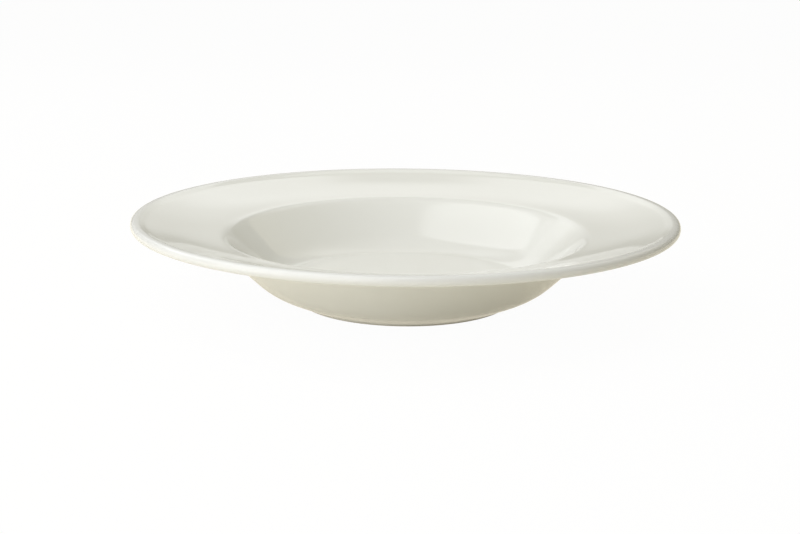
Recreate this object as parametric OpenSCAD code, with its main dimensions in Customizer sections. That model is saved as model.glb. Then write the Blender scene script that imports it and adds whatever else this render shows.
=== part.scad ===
// Wide-rimmed pasta bowl: a turned ceramic body under two films of glaze.
// Millimetres, +Z up, with the origin in the middle of the foot, on the table.

/* [Rim] */
// Diameter over the rim's edge
rim_d = 300; // [260:1:340]
// Height from the table to the top of the rim's edge
height = 48.9; // [42:0.1:64]
// Rise from the shoulder, where the well meets the rim, to the top of the edge
rim_rise = 10.6; // [6:0.1:15]
// How far the rim's face sags below a straight line
rim_sag = 1.4; // [0.5:0.05:2]
// Place of the sag's bend, as a share of the way from the shoulder to the bead
rim_bend = 0.38; // [0.25:0.01:0.6]
// Thickness of the rim beside the shoulder
rim_t = 5; // [3.5:0.1:7]
// Radius of the bend under the rim
under_r = 10; // [4:0.5:20]

/* [Edge bead] */
// Thickness of the rolled edge
edge_t = 4.6; // [4:0.1:7]
// Width of the bead on the rim's face
bead_w = 8; // [7:0.1:10]
// Rise of the bead above the rim's face
bead_rise = 1.7; // [1:0.1:3]
// Slope of the bead's inner side, in degrees
bead_a = 25; // [25:1:50]
// Radius of the hollow beside the bead
bead_hollow_r = 8; // [2:0.5:12]
// Radius of the bead's inner crest
bead_crest_r = 3.2; // [1:0.1:4]

/* [Well] */
// Diameter of the well's mouth, at the shoulder
well_d = 199.4; // [190:0.2:220]
// Radius of the shoulder
shoulder_r = 9; // [4:0.5:14]
// Thickness of the well's wall
wall_t = 6.4; // [4:0.1:7]
// Width of the cove between the floor and the wall
cove_w = 7.6; // [4:0.1:12]
// Slope of the cove, in degrees
cove_a = 23; // [18:0.5:30]
// Radius of the bend between the cove and the wall
cove_r = 33; // [20:1:50]
// Radius at the edge of the floor
floor_edge_r = 9; // [2:0.5:10]
// How far the middle of the floor lies below its edge
floor_dish = 0.4; // [0.1:0.1:1.5]

/* [Foot] */
// Diameter of the foot ring on the table
foot_d = 118; // [110:0.2:130]
// Height of the foot ring outside
foot_h = 1.5; // [1.2:0.1:3]
// Width of the foot ring on the table
foot_w = 6.5; // [4:0.1:9]
// Lean of the foot ring's outer side from upright, in degrees
foot_lean = 45; // [10:1:50]
// Radius of the foot ring's two lower edges
foot_edge_r = 0.8; // [0.3:0.1:1.2]
// Depth of the recess inside the foot ring
recess_h = 3.4; // [2:0.1:5]
// Lean of the recess's side from upright, in degrees
recess_lean = 20; // [5:1:40]
// Radius in the corner of the recess
recess_r = 1.5; // [0.5:0.1:3]
// Thickness of the base at the edge of the floor
base_t = 7.9; // [6:0.1:11]

/* [Glaze] */
// Thickness of the glaze
glaze_t = 0.3; // [0.2:0.05:0.5]
// Height of the bare band round the bottom of the foot ring
bare_h = 0.75; // [0.5:0.05:1]

/* [Hidden] */

// Facets round the axis, and degrees between the points of a rounded corner
turn_fn = 180;
arc_step = 5;
// The most of a side that its two rounded corners may use together
corner_share = 0.98;

rim_r = rim_d / 2;
shoulder = [well_d / 2, height - rim_rise];
hollow = [rim_r - bead_w, height - bead_rise];
crest = [hollow[0] + bead_rise / tan(bead_a), height];
rim_middle = shoulder + rim_bend * (hollow - shoulder) - [0, rim_sag];
// Radius that bends the sagging face along most of its inner side
rim_face_r = 0.75 * norm(rim_middle - shoulder) * tan(half_angle(shoulder, rim_middle, hollow));

// The cove outside starts from the top of the foot ring, and the one inside runs beside it
cove_dir = [cos(cove_a), sin(cove_a)];
cove_up = [-sin(cove_a), cos(cove_a)];
foot_out = [foot_d / 2, 0];
foot_top = foot_out + foot_h * [tan(foot_lean), 1];
foot_in = foot_out - [foot_w, 0];
recess_corner = foot_in + recess_h * [-tan(recess_lean), 1];
floor_h = recess_h + base_t;
cove_start = foot_top + wall_t * cove_up;
floor_edge = cove_start + cove_dir * (floor_h - cove_start[1]) / sin(cove_a);
cove_end = floor_edge + cove_dir * cove_w / cos(cove_a);

// Undersides follow the faces above them, a wall or a rim thickness away
under_path = shifted([floor_edge, cove_end, shoulder, rim_middle], [wall_t, wall_t, rim_t]);
under_cove = under_path[1];
under_shoulder = under_path[2];
edge_low = [rim_r, height - edge_t];

// Outline of the finished bowl, from the middle of the floor, over the rim and down to the foot:
// each corner with its radius
outline = fitted([
    [[0, floor_h - floor_dish], 0],
    [floor_edge, floor_edge_r],
    [cove_end, cove_r],
    [shoulder, shoulder_r],
    [rim_middle, rim_face_r],
    [hollow, bead_hollow_r],
    [crest, bead_crest_r],
    [[rim_r, height], edge_t / 2],
    [edge_low, edge_t / 2],
    [under_shoulder, under_r],
    [under_cove, cove_r + wall_t],
    [foot_top, foot_edge_r],
    [foot_out, foot_edge_r],
    [foot_in, foot_edge_r],
    [recess_corner, recess_r],
    [[0, recess_h], 0]
]);
// Corners of the outline where the foot ring meets the table
foot_out_at = 12;
foot_in_at = 13;
last_at = len(outline) - 1;

// Outline of the body: a glaze thickness inside the finished one, but not under the foot ring
body_corners = shifted_outline(outline,
    [for (i = [0 : last_at - 1]) i == foot_out_at ? 0 : glaze_t]);

// Points where the two films of glaze end, above the bare band
coat_end = foot_out + bare_h * [tan(foot_lean), 1];
base_end = foot_in + bare_h * [-tan(recess_lean), 1];

function unit(v) = v / norm(v);
function turned(v, a) = [v[0] * cos(a) - v[1] * sin(a), v[0] * sin(a) + v[1] * cos(a)];
function reversed(list) = [for (i = [len(list) - 1 : -1 : 0]) list[i]];

// Corner b of the sides a-b and b-c when they move to their right by d0 and d1
function shifted_corner(a, b, c, d0, d1) =
    let (u0 = unit(b - a), u1 = unit(c - b), bend = cross(u0, u1))
    b - (d0 * u1 - d1 * u0) / bend;

// Point p on the side a-b when the side moves to its right by d
function shifted_point(p, a, b, d) = p + d * turned(unit(b - a), -90);

// The same for a point that stays upright over its old place, such as one on the axis
function shifted_end(p, a, b, d) = p - [0, d / unit(b - a)[0]];

// A path's corners when each side moves to its right by its own distance
function shifted(p, d) = [
    shifted_end(p[0], p[0], p[1], d[0]),
    for (i = [1 : len(p) - 2]) shifted_corner(p[i - 1], p[i], p[i + 1], d[i - 1], d[i]),
    shifted_end(p[len(p) - 1], p[len(p) - 2], p[len(p) - 1], d[len(d) - 1])
];

// The same for corners with radii, which keep the two rounded corners concentric
function shifted_outline(corners, d) =
    let (points = shifted([for (c = corners) c[0]], d))
    [for (i = [0 : len(corners) - 1])
        let (least = min(d[max(i - 1, 0)], d[min(i, len(d) - 1)]))
        [points[i], corners[i][1] == 0 ? 0 : corners[i][1] + least * bend_sign(corners, i)]];

// 1 where the path turns left at corner i, and -1 where it turns right
function bend_sign(corners, i) =
    sign(cross(corners[i][0] - corners[i - 1][0], corners[i + 1][0] - corners[i][0]));

// Half of the angle between the two sides that meet in corner b
function half_angle(a, b, c) = acos(unit(a - b) * unit(c - b)) / 2;

// Length of a side that the rounded corner i uses
function cut(corners, i) =
    (i == 0 || i == len(corners) - 1) ? 0
    : corners[i][1] / tan(half_angle(corners[i - 1][0], corners[i][0], corners[i + 1][0]));

// Share of their radii that the side from corner i to the next one has room for
function room(corners, i) =
    corner_share * norm(corners[i + 1][0] - corners[i][0]) / (cut(corners, i) + cut(corners, i + 1));

// Corners with their radii reduced where a side is too short for both of its own
function fitted(corners) = [
    for (i = [0 : len(corners) - 1])
        (i == 0 || i == len(corners) - 1) ? corners[i]
        : [corners[i][0], corners[i][1] * min(1, room(corners, i - 1), room(corners, i))]
];

// Points of the arc with radius r that rounds the corner b
function arc_points(a, b, c, r) =
    let (
        half = half_angle(a, b, c),
        to_a = unit(a - b),
        middle = b + unit(to_a + unit(c - b)) * r / sin(half),
        start = b + to_a * r / tan(half) - middle,
        turn = sign(cross(b - a, c - b)) * (180 - 2 * half),
        steps = max(1, ceil(abs(turn) / arc_step))
    )
    [for (i = [0 : steps]) middle + turned(start, turn * i / steps)];

// Points of a path whose inner corners are rounded
function rounded(corners) = [
    corners[0][0],
    for (i = [1 : len(corners) - 2])
        each arc_points(corners[i - 1][0], corners[i][0], corners[i + 1][0], corners[i][1]),
    corners[len(corners) - 1][0]
];

// Film of glaze between some corners of the outline and the same corners of the body.
// One of its ends lies on the axis, and the other one is cut square where the film stops.
module glaze_film(outer, inner) {
    rotate_extrude($fn = turn_fn) polygon(concat(rounded(outer), reversed(rounded(inner))));
}

// Clay body: well, rim, rolled edge and foot ring in one turned piece
module ceramic_body() {
    color([0.86, 0.83, 0.75]) rotate_extrude($fn = turn_fn) polygon(rounded(body_corners));
}

// Glaze from the middle of the floor, over the rim and down the outside to the bare band
module glaze_coat() {
    inner_end = shifted_point(coat_end, foot_top, foot_out, glaze_t);
    color([0.93, 0.92, 0.87]) glaze_film(
        [for (i = [0 : foot_out_at - 1]) outline[i], [coat_end, 0]],
        [for (i = [0 : foot_out_at - 1]) body_corners[i], [inner_end, 0]]
    );
}

// Glaze in the recess inside the foot ring
module base_glaze() {
    inner_end = shifted_point(base_end, foot_in, recess_corner, glaze_t);
    color([0.91, 0.90, 0.85]) glaze_film(
        [[base_end, 0], for (i = [foot_in_at + 1 : last_at]) outline[i]],
        [[inner_end, 0], for (i = [foot_in_at + 1 : last_at]) body_corners[i]]
    );
}

ceramic_body();
glaze_coat();
base_glaze();
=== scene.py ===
import math
import bpy
from mathutils import Matrix, Vector


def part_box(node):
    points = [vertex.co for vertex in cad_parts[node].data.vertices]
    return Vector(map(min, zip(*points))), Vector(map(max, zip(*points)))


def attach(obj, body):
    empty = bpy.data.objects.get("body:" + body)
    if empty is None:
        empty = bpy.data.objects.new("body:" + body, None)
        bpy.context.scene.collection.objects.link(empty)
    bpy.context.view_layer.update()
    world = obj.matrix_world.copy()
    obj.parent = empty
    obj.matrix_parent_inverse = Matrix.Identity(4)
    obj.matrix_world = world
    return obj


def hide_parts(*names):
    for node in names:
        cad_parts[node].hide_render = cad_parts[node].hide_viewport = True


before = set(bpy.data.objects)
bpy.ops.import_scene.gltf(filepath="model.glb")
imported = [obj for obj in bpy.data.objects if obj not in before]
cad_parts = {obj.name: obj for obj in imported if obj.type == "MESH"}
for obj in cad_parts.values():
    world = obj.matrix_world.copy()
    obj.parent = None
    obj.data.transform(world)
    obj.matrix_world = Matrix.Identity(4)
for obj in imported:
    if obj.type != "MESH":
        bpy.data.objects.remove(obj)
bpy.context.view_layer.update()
mm = 0.001
print("frame loaded, nodes:", ", ".join(sorted(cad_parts)))

# section of the bowl: what the frame holds is read from it, the rest is the maker's sizes
coatLow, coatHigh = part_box("glaze_coat")
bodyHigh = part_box("ceramic_body")[1]
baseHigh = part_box("base_glaze")[1]
glazeThickness = coatHigh.z - bodyHigh.z

bowlForm = {
    "rimRadius": coatHigh.x,
    "height": coatHigh.z,
    "rimRise": 10.6 * mm,            # shoulder to the top of the edge
    "rimSag": 1.4 * mm,              # how hollow the rim's face is
    "rimBend": 0.38,                 # where it bends, from the shoulder to the bead
    "rimBendShare": 0.75,            # share of the face inside the bend that is round
    "rimThickness": 5 * mm,
    "underRounding": 10 * mm,        # bend under the rim
    "edgeThickness": 4.6 * mm,
    "beadWidth": 8 * mm,
    "beadRise": 1.7 * mm,
    "beadSlope": math.radians(25),
    "beadHollowRounding": 8 * mm,
    "beadCrestRounding": 3.2 * mm,
    "mouthRadius": 99.7 * mm,        # well's mouth, at the shoulder
    "shoulderRounding": 9 * mm,
    "wallThickness": 6.4 * mm,
    "coveWidth": 7.6 * mm,
    "coveSlope": math.radians(23),
    "coveRounding": 33 * mm,
    "floorEdgeRounding": 9 * mm,
    "floorDish": 0.4 * mm,           # the floor's middle lies this much lower
    "baseThickness": 7.9 * mm,
    "footRadius": 59 * mm,
    "footHeight": 1.5 * mm,
    "footWidth": 6.5 * mm,
    "footLean": math.radians(45),
    "footRounding": 0.8 * mm,
    "recessHeight": baseHigh.z - glazeThickness,
    "recessLean": math.radians(20),
    "recessRounding": 1.5 * mm,
    "bareBand": coatLow.z,           # bare clay below the glaze, on the foot ring
}

turning = {
    "segments": 288,
    "arcStep": math.radians(2),      # between the points of a rounded corner
    "step": 0.25 * mm,               # even spacing before thinning out
    "settle": 0.55 * mm,             # how far fired glaze rounds every bend
    "bellReach": 3,                  # widths of its bell curve that rounding looks at
    "turn": math.radians(4),         # most that the section turns between two rings
    "reach": 2.5 * mm,               # furthest apart that two rings lie
    "hiddenTurn": math.radians(8),   # the same two for faces under the glaze
    "hiddenReach": 5 * mm,
    "poolReach": 2.5 * mm,           # length over which glaze runs into hollows
    "poolFull": 0.8 * mm,            # depth of a hollow that counts as full
}

glazeLip = {
    "length": 0.6 * mm,              # rounded end of the glaze beside the bare band
    "swell": 0.25,
    "swellAt": 1.5,                  # place of the swelling, in lengths of the end
    "fineReach": 3,                  # lengths of the end that get every fine point
}

kilnWarp = {
    "oval": 0.2 * mm,
    "ovalTurn": 0.9,
    "wave": 0.2 * mm,
    "waveCount": 3,
    "waveTurn": 2.1,
}


def rightOf(direction):
    return Vector((direction.y, -direction.x))


def crossing(pointA, alongA, pointB, alongB):
    # where two straight lines of the section meet
    gap = pointB - pointA
    share = (gap.x * alongB.y - gap.y * alongB.x) / (alongA.x * alongB.y - alongA.y * alongB.x)
    return pointA + alongA * share


def outlineCorners(form):
    # corners of the finished surface with their roundings, from the floor over the rim to the recess
    coveAlong = Vector((math.cos(form["coveSlope"]), math.sin(form["coveSlope"])))
    footOut = Vector((form["footRadius"], 0))
    footTop = footOut + form["footHeight"] * Vector((math.tan(form["footLean"]), 1))
    footIn = footOut - Vector((form["footWidth"], 0))
    recessCorner = footIn + form["recessHeight"] * Vector((-math.tan(form["recessLean"]), 1))
    floorHeight = form["recessHeight"] + form["baseThickness"]
    coveStart = footTop - form["wallThickness"] * rightOf(coveAlong)
    floorEdge = coveStart + coveAlong * (floorHeight - coveStart.y) / coveAlong.y
    coveEnd = floorEdge + coveAlong * form["coveWidth"] / coveAlong.x
    shoulder = Vector((form["mouthRadius"], form["height"] - form["rimRise"]))
    hollow = Vector((form["rimRadius"] - form["beadWidth"], form["height"] - form["beadRise"]))
    crest = Vector((hollow.x + form["beadRise"] / math.tan(form["beadSlope"]), form["height"]))
    rimMiddle = shoulder + form["rimBend"] * (hollow - shoulder) - Vector((0, form["rimSag"]))
    wallAlong = (shoulder - coveEnd).normalized()
    rimAlong = (rimMiddle - shoulder).normalized()
    underWall = shoulder + form["wallThickness"] * rightOf(wallAlong)
    underRim = shoulder + form["rimThickness"] * rightOf(rimAlong)
    underShoulder = crossing(underWall, wallAlong, underRim, rimAlong)
    underCove = crossing(underWall, wallAlong, footTop, coveAlong)
    edgeTop = Vector((form["rimRadius"], form["height"]))
    edgeLow = Vector((form["rimRadius"], form["height"] - form["edgeThickness"]))
    edgeRounding = form["edgeThickness"] / 2
    faceBend = rimAlong.angle(hollow - rimMiddle)
    faceRounding = form["rimBendShare"] * (rimMiddle - shoulder).length / math.tan(faceBend / 2)
    return [
        (Vector((0, floorHeight - form["floorDish"])), 0),
        (floorEdge, form["floorEdgeRounding"]),
        (coveEnd, form["coveRounding"]),
        (shoulder, form["shoulderRounding"]),
        (rimMiddle, faceRounding),
        (hollow, form["beadHollowRounding"]),
        (crest, form["beadCrestRounding"]),
        (edgeTop, edgeRounding),
        (edgeLow, edgeRounding),
        (underShoulder, form["underRounding"]),
        (underCove, form["coveRounding"] + form["wallThickness"]),
        (footTop, form["footRounding"]),
        (footOut, form["footRounding"]),
        (footIn, form["footRounding"]),
        (recessCorner, form["recessRounding"]),
        (Vector((0, form["recessHeight"])), 0),
    ]


def roundCorners(corners, stepAngle):
    # path along the corners, each replaced by an arc
    path = [corners[0][0]]
    for (before, _), (corner, rounding), (after, _) in zip(corners, corners[1:], corners[2:]):
        toBefore = (before - corner).normalized()
        toAfter = (after - corner).normalized()
        half = toBefore.angle(toAfter) / 2
        middle = corner + (toBefore + toAfter).normalized() * rounding / math.sin(half)
        start = corner + toBefore * rounding / math.tan(half) - middle
        turn = math.pi - 2 * half
        if toBefore.cross(toAfter) > 0:
            turn = -turn
        steps = max(2, math.ceil(abs(turn) / stepAngle))
        for i in range(steps + 1):
            path.append(middle + Matrix.Rotation(turn * i / steps, 2) @ start)
    path.append(corners[-1][0])
    return path


def evenSteps(path, step):
    # the same path with points a fixed distance apart
    out = [path[0]]
    left = step
    for a, b in zip(path, path[1:]):
        while (b - a).length >= left:
            a = a + (b - a).normalized() * left
            out.append(a)
            left = step
        left -= (b - a).length
    out.append(path[-1])
    return out


def smoothed(path, step, width):
    # running average with a bell curve; the path's ends stay in place
    reach = int(turning["bellReach"] * width / step)
    bell = [math.exp(-0.5 * (k * step / width) ** 2) for k in range(-reach, reach + 1)]
    last = len(path) - 1
    out = []
    for i in range(len(path)):
        room = min(reach, i, last - i)
        weights = bell[reach - room:reach + room + 1]
        total = Vector((0, 0))
        for k, weight in enumerate(weights):
            total += path[i - room + k] * weight
        out.append(total / sum(weights))
    return out


def keptPoints(path, turn, reach):
    # numbers of the points that the shape needs
    kept = [0]
    for i in range(1, len(path) - 1):
        gone = (path[i] - path[kept[-1]]).length
        bent = (path[i + 1] - path[i]).angle(path[kept[-1] + 1] - path[kept[-1]])
        if gone > reach or bent > turn:
            kept.append(i)
    kept.append(len(path) - 1)
    return kept


def outwardAt(path, i):
    # unit normal of the section, away from the clay
    along = path[min(i + 1, len(path) - 1)] - path[max(i - 1, 0)]
    if i in (0, len(path) - 1):
        along.y = 0
    return -rightOf(along.normalized())


sharpPath = roundCorners(outlineCorners(bowlForm), turning["arcStep"])
finePath = smoothed(evenSteps(sharpPath, turning["step"]), turning["step"], turning["settle"])
normals = [outwardAt(finePath, i) for i in range(len(finePath))]

# melted glaze fills hollows, up to 1, and leaves crests, down to -1; the crests also carry painted shade
# in the glaze
pooledPath = smoothed(finePath, turning["step"], turning["poolReach"])
pooling = []
for fine, pooled, outward in zip(finePath, pooledPath, normals):
    depth = (pooled - fine).dot(outward) / turning["poolFull"]
    pooling.append(max(-1.0, min(1.0, depth)))

# the glaze stops at the bare band on both sides of the foot ring
lastAt = len(finePath) - 1
edgeAt = max(range(lastAt), key=lambda i: finePath[i].x)
footAt = min(range(edgeAt, lastAt), key=lambda i: finePath[i].y)
coatEnd = next(i for i in range(edgeAt, lastAt) if finePath[i].y < bowlForm["bareBand"])
baseStart = next(i for i in range(footAt, lastAt) if finePath[i].y > bowlForm["bareBand"])
print("section:", len(finePath), "points, glaze ends at", coatEnd, "and starts again at", baseStart)


def bodyPoint(i):
    # clay under the glaze; it runs out to the finished surface where the foot stands
    cover = min(1.0, finePath[i].y / bowlForm["bareBand"])
    return finePath[i] - normals[i] * glazeThickness * cover


def filmPoint(i, endAt):
    # outside of a film of glaze, which swells a little and then rounds off at its end
    gone = abs(endAt - i) * turning["step"] / glazeLip["length"]
    share = 1 + glazeLip["swell"] * math.exp(-(gone - glazeLip["swellAt"]) ** 2)
    if gone < 1:
        share *= math.sqrt(1 - (1 - gone) ** 2)
    return bodyPoint(i) + normals[i] * glazeThickness * share


def asFired(radius, height, angle):
    # drying and firing leave the rim a little oval and wavy; the foot stays true
    out = max(0, radius - bowlForm["footRadius"]) / (bowlForm["rimRadius"] - bowlForm["footRadius"])
    radius -= kilnWarp["oval"] * out ** 2 * (1 + math.cos(2 * angle + kilnWarp["ovalTurn"])) / 2
    waveAngle = kilnWarp["waveCount"] * angle + kilnWarp["waveTurn"]
    height -= kilnWarp["wave"] * out ** 2 * (1 + math.cos(waveAngle)) / 2
    return Vector((radius * math.cos(angle), radius * math.sin(angle), height))


def lathe(name, rings):
    # closed skin turned from a section; each ring has its point and how much glaze runs together there
    count = turning["segments"]
    verts, pools, faces, starts = [], [], [], []
    for point, pool in rings:
        starts.append(len(verts))
        onAxis = point.x < turning["step"] / 2
        radius = 0 if onAxis else point.x
        for k in range(1 if onAxis else count):
            verts.append(asFired(radius, point.y, 2 * math.pi * k / count))
            pools.append(pool)
    starts.append(len(verts))
    for i in range(len(rings) - 1):
        a, b = starts[i], starts[i + 1]
        poleBefore = b - a == 1
        poleAfter = starts[i + 2] - b == 1
        for k in range(count):
            n = (k + 1) % count
            if poleBefore:
                faces.append((a, b + k, b + n))
            elif poleAfter:
                faces.append((a + n, a + k, b))
            else:
                faces.append((a + n, a + k, b + k, b + n))
    mesh = bpy.data.meshes.new(name)
    mesh.from_pydata(verts, [], faces)
    mesh.attributes.new("pooling", "FLOAT", "POINT").data.foreach_set("value", pools)
    mesh.shade_smooth()
    mesh.update()
    piece = bpy.data.objects.new(name, mesh)
    bpy.context.scene.collection.objects.link(piece)
    print(name, "turned:", len(verts), "points,", len(faces), "faces")
    return piece


def lipSteps(endAt, inside):
    # every fine point along the rounded end of a film
    count = math.ceil(glazeLip["fineReach"] * glazeLip["length"] / turning["step"])
    return {endAt + inside * k for k in range(count)}


shownRings = keptPoints(finePath, turning["turn"], turning["reach"])
hiddenRings = keptPoints(finePath, turning["hiddenTurn"], turning["hiddenReach"])

footRings = [i for i in shownRings if coatEnd <= i <= baseStart]
coveredRings = [i for i in hiddenRings if i < coatEnd or i > baseStart]
bodyRings = sorted({*coveredRings, *footRings, coatEnd, baseStart})
bowlBody = lathe("bowlBody", [(bodyPoint(i), 0.0) for i in bodyRings])

coatOut = sorted({i for i in shownRings if i < coatEnd} | lipSteps(coatEnd, -1))
coatIn = [i for i in reversed(bodyRings) if i < coatEnd]
coatSection = [(filmPoint(i, coatEnd), pooling[i]) for i in coatOut]
coatSection += [(bodyPoint(i), 0.0) for i in coatIn]
bowlGlaze = lathe("bowlGlaze", coatSection)

baseOut = sorted({i for i in shownRings if i > baseStart} | lipSteps(baseStart, 1))
baseIn = [i for i in bodyRings if i > baseStart]
baseSection = [(bodyPoint(i), 0.0) for i in reversed(baseIn)]
baseSection += [(filmPoint(i, baseStart), pooling[i]) for i in baseOut]
baseGlaze = lathe("baseGlaze", baseSection)


# shader helpers
mixFirst, mixSecond, mixResult = 6, 7, 2   # colour sockets of a Mix node, whose names repeat


def addNode(tree, kind, values=None, **settings):
    made = tree.nodes.new(kind)
    for key, value in settings.items():
        setattr(made, key, value)
    for socket, value in (values or {}).items():
        made.inputs[socket].default_value = value
    return made


def wire(tree, source, outSocket, target, inSocket):
    tree.links.new(source.outputs[outSocket], target.inputs[inSocket])


def addMath(tree, operation, *values):
    # values are numbers or (node, socket) pairs
    made = addNode(tree, "ShaderNodeMath", operation=operation)
    for slot, value in enumerate(values):
        if isinstance(value, tuple):
            wire(tree, value[0], value[1], made, slot)
        else:
            made.inputs[slot].default_value = value
    return made


def spread(tree, value, given, wanted=(0, 1)):
    # a value whose given range becomes the wanted one
    made = addNode(tree, "ShaderNodeMapRange", {
        "From Min": given[0], "From Max": given[1], "To Min": wanted[0], "To Max": wanted[1],
    })
    wire(tree, *value, made, "Value")
    return made


def blendColor(tree, mask, first, second):
    # first is a colour or a node whose colour is changed by the mask
    made = addNode(tree, "ShaderNodeMix", data_type="RGBA")
    if isinstance(first, tuple):
        made.inputs[mixFirst].default_value = (*first, 1)
    else:
        wire(tree, first, mixResult, made, mixFirst)
    made.inputs[mixSecond].default_value = (*second, 1)
    wire(tree, *mask, made, 0)
    return made


def newGroup(name, inputs, outputs):
    group = bpy.data.node_groups.new(name, "ShaderNodeTree")
    for label, value in inputs.items():
        socket = group.interface.new_socket(label, in_out="INPUT", socket_type="NodeSocketFloat")
        socket.default_value = value
    for label in outputs:
        group.interface.new_socket(label, in_out="OUTPUT", socket_type="NodeSocketFloat")
    return group, addNode(group, "NodeGroupInput"), addNode(group, "NodeGroupOutput")


def placeGroup(tree, group, values):
    made = addNode(tree, "ShaderNodeGroup", node_tree=group)
    for label, value in values.items():
        made.inputs[label].default_value = value
    return made


def newMaterial(name):
    material = bpy.data.materials.new(name)
    material.use_nodes = True
    tree = material.node_tree
    tree.nodes.clear()
    return material, tree


# fired glaze: broad clouds of tone, a slow ripple, fine orange peel and a few pinholes
glazeGrain = {
    "cloudSpread": (0.3, 0.7),       # part of the noise that makes the clouds
    "peel": 0.12,                    # height of the orange peel, where the ripple is 1
    "pinholeScale": 260,
    "pinhole": (0.10, 0.02),         # edge and bottom of a pinhole in its cell
}


def makeGlazeSurface(look):
    group, given, result = newGroup(
        "glazeSurface",
        {"Cloud Scale": 18, "Ripple Scale": 140, "Peel Scale": 700, "Pinholes": 0.3},
        ["Cloud", "Gloss", "Height"],
    )
    place = addNode(group, "ShaderNodeTexCoord")
    cloud = addNode(group, "ShaderNodeTexNoise", {"Detail": 3, "Roughness": 0.5})
    ripple = addNode(group, "ShaderNodeTexNoise", {"Detail": 1, "Roughness": 0.4})
    peel = addNode(group, "ShaderNodeTexNoise", {"Detail": 0})
    pits = addNode(group, "ShaderNodeTexVoronoi", {"Scale": look["pinholeScale"]})
    for made, label in ((cloud, "Cloud Scale"), (ripple, "Ripple Scale"), (peel, "Peel Scale")):
        wire(group, given, label, made, "Scale")
    for made in (cloud, ripple, peel, pits):
        wire(group, place, "Object", made, "Vector")
    evened = spread(group, (cloud, "Fac"), look["cloudSpread"])
    pit = spread(group, (pits, "Distance"), look["pinhole"])
    pitDepth = addMath(group, "MULTIPLY", (pit, "Result"), (given, "Pinholes"))
    waves = addMath(group, "MULTIPLY_ADD", (peel, "Fac"), look["peel"], (ripple, "Fac"))
    height = addMath(group, "SUBTRACT", (waves, 0), (pitDepth, 0))
    wire(group, evened, "Result", result, "Cloud")
    wire(group, ripple, "Fac", result, "Gloss")
    wire(group, height, 0, result, "Height")
    return group


# where the melted glaze ran together, and a darker mark on crests that is partly glaze running thin and
# partly painted shade, from the section's hollows and crests
glazeRunAndShade = {
    "unevenScale": 60,
    "unevenSpread": (0.3, 0.7),
    "uneven": (0.95, 1.05),          # how much the runs vary
    "crest": (0.25, 0.8),            # crests on which the thin glaze and its painted shade start and are strongest
}


def makeGlazeDepthAndShade(look):
    group, given, result = newGroup("glazeDepthAndShade", {"Run": 0.8, "Break And Shade": 0.8}, ["Pooled", "Thin And Shade"])
    depth = addNode(group, "ShaderNodeAttribute", attribute_name="pooling")
    place = addNode(group, "ShaderNodeTexCoord")
    uneven = addNode(group, "ShaderNodeTexNoise", {"Scale": look["unevenScale"], "Detail": 2})
    wire(group, place, "Object", uneven, "Vector")
    jitter = spread(group, (uneven, "Fac"), look["unevenSpread"], look["uneven"])
    signed = addMath(group, "MULTIPLY", (depth, "Fac"), (jitter, "Result"))
    pooled = addMath(group, "MULTIPLY", (signed, 0), (given, "Run"))
    pooled.use_clamp = True
    turned = addMath(group, "MULTIPLY", (signed, 0), -1.0)
    sharp = spread(group, (turned, 0), look["crest"])
    # crest mask for glaze running thin, also used as painted shade
    thinAndShade = addMath(group, "MULTIPLY", (sharp, "Result"), (given, "Break And Shade"))
    wire(group, pooled, 0, result, "Pooled")
    wire(group, thinAndShade, 0, result, "Thin And Shade")
    return group


glazeSurface = makeGlazeSurface(glazeGrain)
glazeDepthAndShade = makeGlazeDepthAndShade(glazeRunAndShade)
print("glaze groups made")


ivoryGlaze = {
    "color": (0.777, 0.783, 0.756),
    "clouded": (0.768, 0.771, 0.740),
    "pooled": (0.790, 0.792, 0.762),
    # darker, cooler colour on crests: partly glaze running thin, partly painted shade on the bead and
    # shoulder
    "thinAndShade": (0.684, 0.688, 0.684),
    "smooth": 0.05,
    "dull": 0.09,
    "ripple": 0.010 * mm,
    "ior": 1.52,
    "surface": {"Cloud Scale": 18, "Ripple Scale": 140, "Peel Scale": 700, "Pinholes": 0.3},
    "depth": {"Run": 1.0, "Break And Shade": 0.8},
}

recessGlaze = dict(
    ivoryGlaze,
    color=(0.770, 0.758, 0.686),
    clouded=(0.748, 0.732, 0.654),
    dull=0.16,
    surface={"Cloud Scale": 26, "Ripple Scale": 110, "Peel Scale": 600, "Pinholes": 0.6},
)


def makeGlaze(name, look):
    material, tree = newMaterial(name)
    surface = placeGroup(tree, glazeSurface, look["surface"])
    depth = placeGroup(tree, glazeDepthAndShade, look["depth"])
    tone = blendColor(tree, (surface, "Cloud"), look["color"], look["clouded"])
    tone = blendColor(tree, (depth, "Pooled"), tone, look["pooled"])
    # crests take the thin colour, partly thin glaze and partly painted shade
    tone = blendColor(tree, (depth, "Thin And Shade"), tone, look["thinAndShade"])
    gloss = spread(tree, (surface, "Gloss"), (0, 1), (look["smooth"], look["dull"]))
    bump = addNode(tree, "ShaderNodeBump", {"Strength": 1, "Distance": look["ripple"]})
    wire(tree, surface, "Height", bump, "Height")
    shader = addNode(tree, "ShaderNodeBsdfPrincipled", {"IOR": look["ior"]})
    wire(tree, tone, mixResult, shader, "Base Color")
    wire(tree, gloss, "Result", shader, "Roughness")
    wire(tree, bump, "Normal", shader, "Normal")
    output = addNode(tree, "ShaderNodeOutputMaterial")
    wire(tree, shader, "BSDF", output, "Surface")
    return material


bareClay = {
    "color": (0.72, 0.67, 0.57),
    "sandy": (0.78, 0.73, 0.63),
    "grog": (0.48, 0.42, 0.33),
    "grainScale": 1600,
    "patchScale": 45,
    "grogScale": 700,
    "grogGrain": (0.14, 0.06),       # edge and middle of a dark grain in its cell
    "ringScale": 160,
    "ringWobble": 0.6,
    "ringHeight": 0.5,               # height of the tool's rings, where the grain is 1
    "roughness": (0.78, 0.95),
    "relief": 0.03 * mm,
    "ior": 1.45,
}


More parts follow.
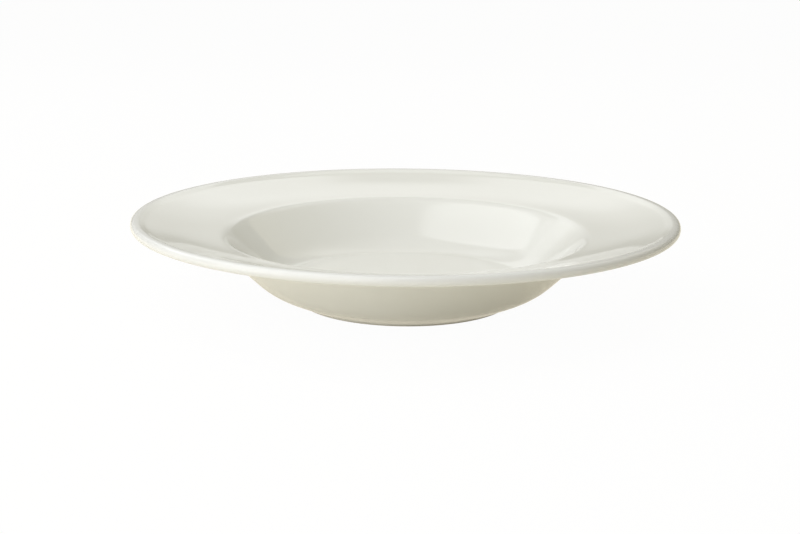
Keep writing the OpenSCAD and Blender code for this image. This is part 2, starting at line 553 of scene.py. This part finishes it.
def makeClay(name, look):
    # matte fired clay with sandy grain, dark grog and the rings of the turning tool
    material, tree = newMaterial(name)
    place = addNode(tree, "ShaderNodeTexCoord")
    grain = addNode(tree, "ShaderNodeTexNoise", {"Scale": look["grainScale"], "Detail": 2})
    patch = addNode(tree, "ShaderNodeTexNoise", {"Scale": look["patchScale"], "Detail": 3})
    grog = addNode(tree, "ShaderNodeTexVoronoi", {"Scale": look["grogScale"]})
    ringSizes = {"Scale": look["ringScale"], "Distortion": look["ringWobble"]}
    rings = addNode(tree, "ShaderNodeTexWave", ringSizes, wave_type="RINGS", rings_direction="Z")
    for made in (grain, patch, grog, rings):
        wire(tree, place, "Object", made, "Vector")
    grogMask = spread(tree, (grog, "Distance"), look["grogGrain"])
    tone = blendColor(tree, (patch, "Fac"), look["color"], look["sandy"])
    tone = blendColor(tree, (grogMask, "Result"), tone, look["grog"])
    rough = spread(tree, (grain, "Fac"), (0, 1), look["roughness"])
    relief = addMath(tree, "MULTIPLY_ADD", (rings, "Fac"), look["ringHeight"], (grain, "Fac"))
    bump = addNode(tree, "ShaderNodeBump", {"Strength": 1, "Distance": look["relief"]})
    wire(tree, relief, 0, bump, "Height")
    shader = addNode(tree, "ShaderNodeBsdfPrincipled", {"IOR": look["ior"]})
    wire(tree, tone, mixResult, shader, "Base Color")
    wire(tree, rough, "Result", shader, "Roughness")
    wire(tree, bump, "Normal", shader, "Normal")
    output = addNode(tree, "ShaderNodeOutputMaterial")
    wire(tree, shader, "BSDF", output, "Surface")
    return material


dressing = (
    (bowlBody, "ceramic_body", "bisque", makeClay("bareClay", bareClay)),
    (bowlGlaze, "glaze_coat", "glaze", makeGlaze("ivoryGlaze", ivoryGlaze)),
    (baseGlaze, "base_glaze", "base_glaze", makeGlaze("recessGlaze", recessGlaze)),
)
for piece, node, slot, material in dressing:
    piece.data.materials.append(material)
    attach(piece, "root")
    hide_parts(node)
print("bowl dressed")


# studio: a pale floor that looks white to the camera and keeps the shadow, soft boxes and a plain sky
studio = {
    "floorSize": 14,
    "floorColor": (0.93, 0.90, 0.80),
    "floorWhite": 0.97,              # share of plain white that the camera sees
    "floorGleam": 0.72,              # the same for mirrored rays, with their colour
    "gleamColor": (1.0, 0.93, 0.76),
    "skyColor": (1.0, 0.965, 0.79),
    "skyLevel": 0.34,
    "boxColor": (0.99, 1.0, 1.03),
}

# a box faces its aim, or straight down with a turn; level is the brightness of its middle, where 1 is
# white; fade is the share of its width that dims towards the start and end of its own x and y
softBoxes = {
    "keyBox": {
        "place": (-0.842, 0.073, 1.03), "turn": math.radians(125.8),
        "size": (2.5, 1.10), "level": 1.6, "fade": (0.10, 0.10, 0.07, 0.30),
    },
    "topBox": {
        "place": (0.0, 0.1, 1.2), "turn": 0,
        "size": (1.8, 1.8), "level": 0.40, "fade": (0.40, 0.40, 0.40, 0.40),
    },
    "backBox": {
        "place": (-0.525, 1.3, 0.6825), "aim": (-0.525, 0, 0.6825),
        "size": (1.65, 0.625), "level": 0.84, "fade": (0.04, 0.50, 0.50, 0.11),
    },
    "hazeBox": {
        "place": (-0.5, 1.32, 0.345), "aim": (-0.5, 0, 0.345),
        "size": (1.6, 0.41), "level": 0.22, "fade": (0.06, 0.30, 0.30, 0.30),
    },
    "cornerBox": {
        "place": (-1.04, 1.08, 0.98), "aim": (0, 0, 0.98),
        "size": (0.80, 0.36), "level": 0.62, "fade": (0.25, 0.25, 0.20, 0.05),
    },
    "rightBox": {
        "place": (0.67, 0.29, 0.97), "aim": (-0.09, -0.02, 0.03),
        "size": (1.7, 1.2), "level": 0.49, "fade": (0.75, 0.02, 0.03, 0.75),
        "color": (1.05, 0.98, 0.76),
    },
    "stripBox": {
        "place": (0.0, 0.80, 1.06), "aim": (0, 0, 0.025),
        "size": (1.5, 0.42), "level": 0.55, "fade": (0.30, 0.30, 0.15, 0.30),
    },
    "sideBox": {
        "place": (-0.72, -0.84, 0.714), "aim": (0, 0, 0.025),
        "size": (2.2, 0.9), "level": 1.7, "fade": (0.25, 0.25, 0.25, 0.25),
    },
    "lowBox": {
        "place": (-0.92, -0.95, 0.11), "aim": (0, 0, 0.03),
        "size": (2.3, 0.20), "level": 5.8, "fade": (0.25, 0.25, 0.25, 0.25),
    },
}


def makeFloor(look):
    half = look["floorSize"] / 2
    corners = [(-half, -half, 0), (half, -half, 0), (half, half, 0), (-half, half, 0)]
    mesh = bpy.data.meshes.new("floor")
    mesh.from_pydata(corners, [], [(0, 1, 2, 3)])
    floor = bpy.data.objects.new("floor", mesh)
    bpy.context.scene.collection.objects.link(floor)
    material, tree = newMaterial("paleFloor")
    seen = addNode(tree, "ShaderNodeLightPath")
    mirrored = addMath(tree, "MAXIMUM", (seen, "Is Glossy Ray"), (seen, "Is Transmission Ray"))
    gleam = addMath(tree, "MULTIPLY", (mirrored, 0), look["floorGleam"])
    shown = addMath(tree, "MULTIPLY", (seen, "Is Camera Ray"), look["floorWhite"])
    share = addMath(tree, "MAXIMUM", (shown, 0), (gleam, 0))
    paper = addNode(tree, "ShaderNodeBsdfDiffuse", {"Color": (*look["floorColor"], 1)})
    tint = blendColor(tree, (seen, "Is Camera Ray"), look["gleamColor"], (1.0, 1.0, 1.0))
    white = addNode(tree, "ShaderNodeEmission", {"Strength": 1})
    wire(tree, tint, mixResult, white, "Color")
    both = addNode(tree, "ShaderNodeMixShader")
    wire(tree, share, 0, both, "Fac")
    wire(tree, paper, "BSDF", both, 1)
    wire(tree, white, "Emission", both, 2)
    output = addNode(tree, "ShaderNodeOutputMaterial")
    wire(tree, both, "Shader", output, "Surface")
    mesh.materials.append(material)


def makeSoftBox(name, box):
    lamp = bpy.data.lights.new(name, "AREA")
    lamp.shape = "RECTANGLE"
    lamp.size, lamp.size_y = box["size"]
    lamp.energy = math.pi * lamp.size * lamp.size_y * box["level"]
    lamp.color = box.get("color", studio["boxColor"])
    lamp.use_nodes = True
    tree = lamp.node_tree
    place = addNode(tree, "ShaderNodeNewGeometry")
    along = addNode(tree, "ShaderNodeSeparateXYZ")
    wire(tree, place, "Parametric", along, "Vector")
    glow = None
    for side, width in enumerate(box["fade"]):
        edge = side % 2
        dim = addNode(tree, "ShaderNodeMapRange", {"From Min": edge, "From Max": abs(edge - width)},
                      interpolation_type="SMOOTHSTEP")
        wire(tree, along, side // 2, dim, "Value")
        glow = addMath(tree, "MULTIPLY", (dim, "Result"), (glow, 0) if glow else 1.0)
    wire(tree, glow, 0, tree.nodes["Emission"], "Strength")
    holder = bpy.data.objects.new(name, lamp)
    bpy.context.scene.collection.objects.link(holder)
    holder.location = box["place"]
    if "turn" in box:
        holder.rotation_euler = (0, 0, box["turn"])
    else:
        holder.rotation_euler = (Vector(box["aim"]) - holder.location).to_track_quat("-Z", "Y").to_euler()


def makeSky(look):
    # plain soft light from all round, which looks white to the camera
    sky = bpy.data.worlds.new("studioSky")
    bpy.context.scene.world = sky
    sky.use_nodes = True
    tree = sky.node_tree
    soft = tree.nodes["Background"]
    soft.inputs["Color"].default_value = (*look["skyColor"], 1)
    soft.inputs["Strength"].default_value = look["skyLevel"]
    white = addNode(tree, "ShaderNodeBackground", {"Color": (1, 1, 1, 1), "Strength": 1})
    seen = addNode(tree, "ShaderNodeLightPath")
    both = addNode(tree, "ShaderNodeMixShader")
    wire(tree, seen, "Is Camera Ray", both, "Fac")
    wire(tree, soft, "Background", both, 1)
    wire(tree, white, "Background", both, 2)
    wire(tree, both, "Shader", tree.nodes["World Output"], "Surface")


makeFloor(studio)
for name, box in softBoxes.items():
    makeSoftBox(name, box)
makeSky(studio)
print("studio lit with", len(softBoxes), "soft boxes")


# camera at the photograph's angle, from the fit of rim and foot
cameraView = {
    "distance": 0.8,
    "aimHeight": 44 * mm,
    "elevation": math.radians(11.607),
    "yaw": math.radians(-0.206),     # the lens points a little past the bowl's middle
    "pitch": math.radians(1.818),
    "roll": math.radians(0.425),
    "sensor": 36,
    "lens": 65.01,
}


def makeCamera(look):
    data = bpy.data.cameras.new("camera")
    data.sensor_width = look["sensor"]
    data.lens = look["lens"]
    camera = bpy.data.objects.new("camera", data)
    bpy.context.scene.collection.objects.link(camera)
    away, raised = look["distance"], look["elevation"]
    place = Vector((0, -away * math.cos(raised), look["aimHeight"] + away * math.sin(raised)))
    down, aside = raised + look["pitch"], look["yaw"]
    level = math.cos(down)
    forward = Vector((math.sin(aside) * level, math.cos(aside) * level, -math.sin(down)))
    right = forward.cross(Vector((0, 0, 1))).normalized()
    up = right.cross(forward)
    axes = Matrix((right, up, -forward)).transposed()
    turned = axes @ Matrix.Rotation(look["roll"], 3, "Z")
    camera.matrix_world = Matrix.Translation(place) @ turned.to_4x4()
    bpy.context.scene.camera = camera


makeCamera(cameraView)
print("camera set")
bpy.context.scene.view_settings.view_transform = "Standard"
